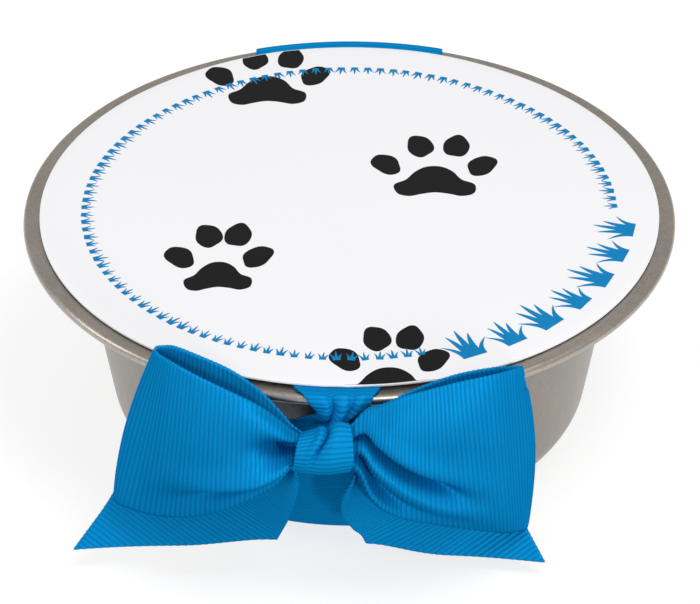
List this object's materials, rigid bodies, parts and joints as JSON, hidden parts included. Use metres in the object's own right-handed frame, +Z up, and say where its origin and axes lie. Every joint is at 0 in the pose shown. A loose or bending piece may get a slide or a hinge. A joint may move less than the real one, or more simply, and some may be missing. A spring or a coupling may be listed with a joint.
{
  "type": "cat grass growing kit",
  "caption": "Flanged steel pet bowl closed by a round printed card and tied with a wide blue grosgrain ribbon and bow, holding a pressed coir disc and a seed packet.",
  "frame": {"origin": "centre of the underside, on the flat of the ribbon that runs under the bowl", "axes": "+Z up, the bow at the front facing -Y, +X to the right seen from the front"},
  "size_m": [0.14, 0.151, 0.0579],
  "materials": {
    "satin_steel": "satin, drawn stainless sheet",
    "white_card": "smooth coated board, printed",
    "blue_grosgrain": "ribbed woven ribbon with a soft sheen",
    "pressed_coir": "dry pressed fibre",
    "kraft_paper": "uncoated paper packet"
  },
  "bodies": {
    "root": {"steel_bowl": "satin_steel", "card_lid": "white_card", "ribbon_band": "blue_grosgrain", "ribbon_knot": "blue_grosgrain", "bow_loop_left": "blue_grosgrain", "bow_loop_right": "blue_grosgrain", "ribbon_tail_left": "blue_grosgrain", "ribbon_tail_right": "blue_grosgrain", "coir_disc": "pressed_coir", "seed_sachet": "kraft_paper"}
  },
  "joints": []
}
